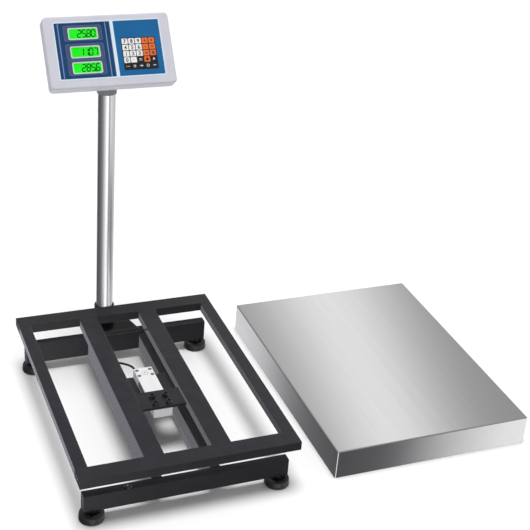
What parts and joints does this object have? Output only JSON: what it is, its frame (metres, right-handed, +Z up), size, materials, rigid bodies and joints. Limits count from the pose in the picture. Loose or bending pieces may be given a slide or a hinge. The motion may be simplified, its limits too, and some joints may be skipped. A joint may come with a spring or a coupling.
{
  "type": "platform shipping scale",
  "caption": "Low platform scale: a tube frame on levelling feet with a load cell, a column with a tilting keypad and display head, and a lift-off stainless cover beside it.",
  "frame": {"origin": "on the floor under the middle of the platform frame, midway between the four feet", "axes": "+X to the right along the 450 mm side, towards the cover; +Y back towards the column; +Z up"},
  "size_m": [0.994, 0.6695, 0.8007],
  "materials": {
    "frame_paint": "gloss black paint",
    "column_steel": "satin",
    "cover_steel": "brushed stainless",
    "cell_aluminium": "clear anodised",
    "black_screw": "black oxide",
    "zinc_steel": "zinc plated",
    "foot_rubber": "moulded black",
    "cable_jacket": "satin black",
    "housing_plastic": "fine texture, light grey",
    "neck_plastic": "grey moulded",
    "display_blue": "gloss dark blue",
    "keypad_blue": "satin blue",
    "lcd_green": "backlit green",
    "key_white": "white",
    "key_orange": "orange",
    "key_black": "black",
    "board_green": "circuit board",
    "battery_case": "black case"
  },
  "bodies": {
    "base": {"base_front_beam": "frame_paint", "base_rear_beam": "frame_paint", "base_rails": "frame_paint", "cell_bridge": "frame_paint", "column_plate": "frame_paint", "column_socket": "frame_paint", "column_tube": "column_steel", "column_screws": "black_screw", "load_cell": "cell_aluminium", "cell_lower_screws": "black_screw", "cell_cable": "cable_jacket"},
    "load_frame": {"load_front_beam": "frame_paint", "load_rear_beam": "frame_paint", "load_side_rails": "frame_paint", "load_middle_tubes": "frame_paint", "load_cell_plate": "frame_paint", "cell_upper_screws": "black_screw"},
    "cover": {"platform_cover": "cover_steel"},
    "swivel": {"head_neck": "neck_plastic"},
    "head": {"head_rear_shell": "housing_plastic", "head_front_bezel": "housing_plastic", "display_window": "display_blue", "lcd_modules": "lcd_green", "keypad_panel": "keypad_blue", "main_board": "board_green", "battery": "battery_case", "tilt_bolt": "zinc_steel"},
    "pad_front_left": {"foot_pad_front_left": "foot_rubber"},
    "stud_front_left": {"foot_stud_front_left": "black_screw"},
    "pad_front_right": {"foot_pad_front_right": "foot_rubber"},
    "stud_front_right": {"foot_stud_front_right": "black_screw"},
    "pad_rear_left": {"foot_pad_rear_left": "foot_rubber"},
    "stud_rear_left": {"foot_stud_rear_left": "black_screw"},
    "pad_rear_right": {"foot_pad_rear_right": "foot_rubber"},
    "stud_rear_right": {"foot_stud_rear_right": "black_screw"},
    "key_row1_col1_body": {"key_row1_col1": "key_white"},
    "key_row1_col2_body": {"key_row1_col2": "key_white"},
    "key_row1_col3_body": {"key_row1_col3": "key_white"},
    "key_row1_col4_body": {"key_row1_col4": "key_orange"},
    "key_row1_col5_body": {"key_row1_col5": "key_orange"},
    "key_row2_col1_body": {"key_row2_col1": "key_white"},
    "key_row2_col2_body": {"key_row2_col2": "key_white"},
    "key_row2_col3_body": {"key_row2_col3": "key_white"},
    "key_row2_col4_body": {"key_row2_col4": "key_orange"},
    "key_row2_col5_body": {"key_row2_col5": "key_orange"},
    "key_row3_col1_body": {"key_row3_col1": "key_white"},
    "key_row3_col2_body": {"key_row3_col2": "key_white"},
    "key_row3_col3_body": {"key_row3_col3": "key_white"},
    "key_row3_col4_body": {"key_row3_col4": "key_orange"},
    "key_row3_col5_body": {"key_row3_col5": "key_orange"},
    "key_row4_col1_body": {"key_row4_col1": "key_white"},
    "key_row4_col2_body": {"key_row4_col2": "key_white"},
    "key_row4_col3_body": {"key_row4_col3": "key_black"},
    "key_row4_col4_body": {"key_row4_col4": "key_orange"},
    "key_row4_col5_body": {"key_row4_col5": "key_black"},
    "key_row5_col1_body": {"key_row5_col1": "key_black"},
    "key_row5_col2_body": {"key_row5_col2": "key_black"},
    "key_row5_col3_body": {"key_row5_col3": "key_black"},
    "key_row5_col4_body": {"key_row5_col4": "key_black"},
    "key_row5_col5_body": {"key_row5_col5": "key_black"}
  },
  "joints": [
    {"name": "cover_lift", "type": "slide", "parent": "base", "child": "cover", "axis": [0, 0, 1], "range_m": [0, 0.35]},
    {"name": "platform_press", "type": "slide", "parent": "base", "child": "load_frame", "axis": [0, 0, 1], "range_m": [-0.0006, 0], "stiffness_N_per_m": 500000, "springref_m": 0.0006, "deforming": ["load_cell"]},
    {"name": "head_swivel", "type": "hinge", "parent": "base", "child": "swivel", "pos_m": [-0.012, 0.333, 0.66], "axis": [0, 0, 1], "range_deg": [-135, 135]},
    {"name": "head_tilt", "type": "hinge", "parent": "swivel", "child": "head", "pos_m": [-0.012, 0.333, 0.687], "axis": [1, 0, 0], "range_deg": [-25, 30]},
    {"name": "foot_front_left_height", "type": "slide", "parent": "base", "child": "pad_front_left", "axis": [0, 0, -1], "range_m": [-0.0045, 0.009]},
    {"name": "foot_front_left_turn", "type": "hinge", "parent": "pad_front_left", "child": "stud_front_left", "pos_m": [-0.193, -0.266, 0.02], "axis": [0, 0, -1], "range_deg": [-1081, 2161]},
    {"name": "foot_front_right_height", "type": "slide", "parent": "base", "child": "pad_front_right", "axis": [0, 0, -1], "range_m": [-0.0045, 0.009]},
    {"name": "foot_front_right_turn", "type": "hinge", "parent": "pad_front_right", "child": "stud_front_right", "pos_m": [0.193, -0.266, 0.02], "axis": [0, 0, -1], "range_deg": [-1081, 2161]},
    {"name": "foot_rear_left_height", "type": "slide", "parent": "base", "child": "pad_rear_left", "axis": [0, 0, -1], "range_m": [-0.0045, 0.009]},
    {"name": "foot_rear_left_turn", "type": "hinge", "parent": "pad_rear_left", "child": "stud_rear_left", "pos_m": [-0.193, 0.266, 0.02], "axis": [0, 0, -1], "range_deg": [-1081, 2161]},
    {"name": "foot_rear_right_height", "type": "slide", "parent": "base", "child": "pad_rear_right", "axis": [0, 0, -1], "range_m": [-0.0045, 0.009]},
    {"name": "foot_rear_right_turn", "type": "hinge", "parent": "pad_rear_right", "child": "stud_rear_right", "pos_m": [0.193, 0.266, 0.02], "axis": [0, 0, -1], "range_deg": [-1081, 2161]},
    {"name": "key_row1_col1", "type": "slide", "parent": "head", "child": "key_row1_col1_body", "axis": [0, 0.8111, -0.585], "range_m": [0, 0.0008], "stiffness_N_per_m": 250, "springref_m": -0.0006},
    {"name": "key_row1_col2", "type": "slide", "parent": "head", "child": "key_row1_col2_body", "axis": [0, 0.8111, -0.585], "range_m": [0, 0.0008], "stiffness_N_per_m": 250, "springref_m": -0.0006},
    {"name": "key_row1_col3", "type": "slide", "parent": "head", "child": "key_row1_col3_body", "axis": [0, 0.8111, -0.585], "range_m": [0, 0.0008], "stiffness_N_per_m": 250, "springref_m": -0.0006},
    {"name": "key_row1_col4", "type": "slide", "parent": "head", "child": "key_row1_col4_body", "axis": [0, 0.8111, -0.585], "range_m": [0, 0.0008], "stiffness_N_per_m": 250, "springref_m": -0.0006},
    {"name": "key_row1_col5", "type": "slide", "parent": "head", "child": "key_row1_col5_body", "axis": [0, 0.8111, -0.585], "range_m": [0, 0.0008], "stiffness_N_per_m": 250, "springref_m": -0.0006},
    {"name": "key_row2_col1", "type": "slide", "parent": "head", "child": "key_row2_col1_body", "axis": [0, 0.8111, -0.585], "range_m": [0, 0.0008], "stiffness_N_per_m": 250, "springref_m": -0.0006},
    {"name": "key_row2_col2", "type": "slide", "parent": "head", "child": "key_row2_col2_body", "axis": [0, 0.8111, -0.585], "range_m": [0, 0.0008], "stiffness_N_per_m": 250, "springref_m": -0.0006},
    {"name": "key_row2_col3", "type": "slide", "parent": "head", "child": "key_row2_col3_body", "axis": [0, 0.8111, -0.585], "range_m": [0, 0.0008], "stiffness_N_per_m": 250, "springref_m": -0.0006},
    {"name": "key_row2_col4", "type": "slide", "parent": "head", "child": "key_row2_col4_body", "axis": [0, 0.8111, -0.585], "range_m": [0, 0.0008], "stiffness_N_per_m": 250, "springref_m": -0.0006},
    {"name": "key_row2_col5", "type": "slide", "parent": "head", "child": "key_row2_col5_body", "axis": [0, 0.8111, -0.585], "range_m": [0, 0.0008], "stiffness_N_per_m": 250, "springref_m": -0.0006},
    {"name": "key_row3_col1", "type": "slide", "parent": "head", "child": "key_row3_col1_body", "axis": [0, 0.8111, -0.585], "range_m": [0, 0.0008], "stiffness_N_per_m": 250, "springref_m": -0.0006},
    {"name": "key_row3_col2", "type": "slide", "parent": "head", "child": "key_row3_col2_body", "axis": [0, 0.8111, -0.585], "range_m": [0, 0.0008], "stiffness_N_per_m": 250, "springref_m": -0.0006},
    {"name": "key_row3_col3", "type": "slide", "parent": "head", "child": "key_row3_col3_body", "axis": [0, 0.8111, -0.585], "range_m": [0, 0.0008], "stiffness_N_per_m": 250, "springref_m": -0.0006},
    {"name": "key_row3_col4", "type": "slide", "parent": "head", "child": "key_row3_col4_body", "axis": [0, 0.8111, -0.585], "range_m": [0, 0.0008], "stiffness_N_per_m": 250, "springref_m": -0.0006},
    {"name": "key_row3_col5", "type": "slide", "parent": "head", "child": "key_row3_col5_body", "axis": [0, 0.8111, -0.585], "range_m": [0, 0.0008], "stiffness_N_per_m": 250, "springref_m": -0.0006},
    {"name": "key_row4_col1", "type": "slide", "parent": "head", "child": "key_row4_col1_body", "axis": [0, 0.8111, -0.585], "range_m": [0, 0.0008], "stiffness_N_per_m": 250, "springref_m": -0.0006},
    {"name": "key_row4_col2", "type": "slide", "parent": "head", "child": "key_row4_col2_body", "axis": [0, 0.8111, -0.585], "range_m": [0, 0.0008], "stiffness_N_per_m": 250, "springref_m": -0.0006},
    {"name": "key_row4_col3", "type": "slide", "parent": "head", "child": "key_row4_col3_body", "axis": [0, 0.8111, -0.585], "range_m": [0, 0.0008], "stiffness_N_per_m": 250, "springref_m": -0.0006},
    {"name": "key_row4_col4", "type": "slide", "parent": "head", "child": "key_row4_col4_body", "axis": [0, 0.8111, -0.585], "range_m": [0, 0.0008], "stiffness_N_per_m": 250, "springref_m": -0.0006},
    {"name": "key_row4_col5", "type": "slide", "parent": "head", "child": "key_row4_col5_body", "axis": [0, 0.8111, -0.585], "range_m": [0, 0.0008], "stiffness_N_per_m": 250, "springref_m": -0.0006},
    {"name": "key_row5_col1", "type": "slide", "parent": "head", "child": "key_row5_col1_body", "axis": [0, 0.8111, -0.585], "range_m": [0, 0.0008], "stiffness_N_per_m": 250, "springref_m": -0.0006},
    {"name": "key_row5_col2", "type": "slide", "parent": "head", "child": "key_row5_col2_body", "axis": [0, 0.8111, -0.585], "range_m": [0, 0.0008], "stiffness_N_per_m": 250, "springref_m": -0.0006},
    {"name": "key_row5_col3", "type": "slide", "parent": "head", "child": "key_row5_col3_body", "axis": [0, 0.8111, -0.585], "range_m": [0, 0.0008], "stiffness_N_per_m": 250, "springref_m": -0.0006},
    {"name": "key_row5_col4", "type": "slide", "parent": "head", "child": "key_row5_col4_body", "axis": [0, 0.8111, -0.585], "range_m": [0, 0.0008], "stiffness_N_per_m": 250, "springref_m": -0.0006},
    {"name": "key_row5_col5", "type": "slide", "parent": "head", "child": "key_row5_col5_body", "axis": [0, 0.8111, -0.585], "range_m": [0, 0.0008], "stiffness_N_per_m": 250, "springref_m": -0.0006}
  ],
  "couplings": [
    {"joint": "foot_front_left_turn", "follows": "foot_front_left_height", "rad_per_m": 4188.8},
    {"joint": "foot_front_right_turn", "follows": "foot_front_right_height", "rad_per_m": 4188.8},
    {"joint": "foot_rear_left_turn", "follows": "foot_rear_left_height", "rad_per_m": 4188.8},
    {"joint": "foot_rear_right_turn", "follows": "foot_rear_right_height", "rad_per_m": 4188.8}
  ]
}
